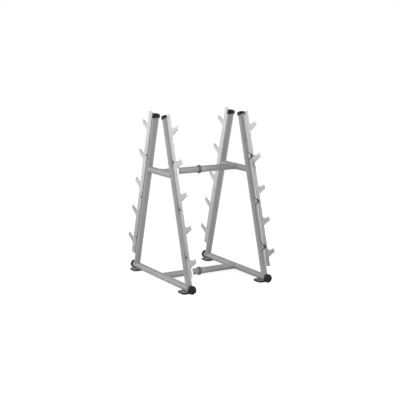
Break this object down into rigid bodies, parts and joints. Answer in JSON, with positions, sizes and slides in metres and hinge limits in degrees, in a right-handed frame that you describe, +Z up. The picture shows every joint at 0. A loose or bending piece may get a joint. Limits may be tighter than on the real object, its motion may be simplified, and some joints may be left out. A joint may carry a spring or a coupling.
{
  "type": "barbell storage rack",
  "caption": "Free-standing A-frame rack of round steel tube whose slanted hook plates hold fixed barbells in pairs of open saddles at front and back.",
  "frame": {"origin": "on the floor, at the centre of the rack's footprint", "axes": "+Z up, +X along the stored bars and the crossbars towards the right end frame, -Y towards the front"},
  "size_m": [0.914, 1.2712, 1.5062],
  "materials": {
    "frame_paint": "satin silver-grey powder coat",
    "plate_paint": "satin silver-grey powder coat",
    "black_plastic": "satin moulded",
    "grey_plastic": "satin moulded",
    "rubber": "matte",
    "dark_steel": "black oxide"
  },
  "bodies": {
    "root": {"leg_tube_left_front": "frame_paint", "leg_cap_left_front": "black_plastic", "hook_plate_left_front": "plate_paint", "plate_tab_upper_left_front": "plate_paint", "plate_bolt_upper_left_front": "dark_steel", "plate_tab_middle_left_front": "plate_paint", "plate_bolt_middle_left_front": "dark_steel", "plate_tab_lower_left_front": "plate_paint", "plate_bolt_lower_left_front": "dark_steel", "end_cap_left_front": "black_plastic", "foot_pad_left_front": "rubber", "foot_plate_left_front": "frame_paint", "leg_tube_left_rear": "frame_paint", "leg_cap_left_rear": "black_plastic", "hook_plate_left_rear": "plate_paint", "plate_tab_upper_left_rear": "plate_paint", "plate_bolt_upper_left_rear": "dark_steel", "plate_tab_middle_left_rear": "plate_paint", "plate_bolt_middle_left_rear": "dark_steel", "plate_tab_lower_left_rear": "plate_paint", "plate_bolt_lower_left_rear": "dark_steel", "end_cap_left_rear": "black_plastic", "foot_pad_left_rear": "rubber", "foot_plate_left_rear": "frame_paint", "leg_tube_right_front": "frame_paint", "leg_cap_right_front": "black_plastic", "hook_plate_right_front": "plate_paint", "plate_tab_upper_right_front": "plate_paint", "plate_bolt_upper_right_front": "dark_steel", "plate_tab_middle_right_front": "plate_paint", "plate_bolt_middle_right_front": "dark_steel", "plate_tab_lower_right_front": "plate_paint", "plate_bolt_lower_right_front": "dark_steel", "end_cap_right_front": "black_plastic", "foot_pad_right_front": "rubber", "foot_plate_right_front": "frame_paint", "leg_tube_right_rear": "frame_paint", "leg_cap_right_rear": "black_plastic", "hook_plate_right_rear": "plate_paint", "plate_tab_upper_right_rear": "plate_paint", "plate_bolt_upper_right_rear": "dark_steel", "plate_tab_middle_right_rear": "plate_paint", "plate_bolt_middle_right_rear": "dark_steel", "plate_tab_lower_right_rear": "plate_paint", "plate_bolt_lower_right_rear": "dark_steel", "end_cap_right_rear": "black_plastic", "foot_pad_right_rear": "rubber", "foot_plate_right_rear": "frame_paint", "floor_tube_left": "frame_paint", "brace_left": "frame_paint", "crossbar_lower_left": "frame_paint", "crossbar_upper_left": "frame_paint", "floor_tube_right": "frame_paint", "brace_right": "frame_paint", "crossbar_lower_right": "frame_paint", "crossbar_upper_right": "frame_paint", "coupling_collar_lower": "grey_plastic", "coupling_sleeve_lower": "frame_paint", "coupling_collar_upper": "grey_plastic", "coupling_sleeve_upper": "frame_paint"}
  },
  "joints": []
}
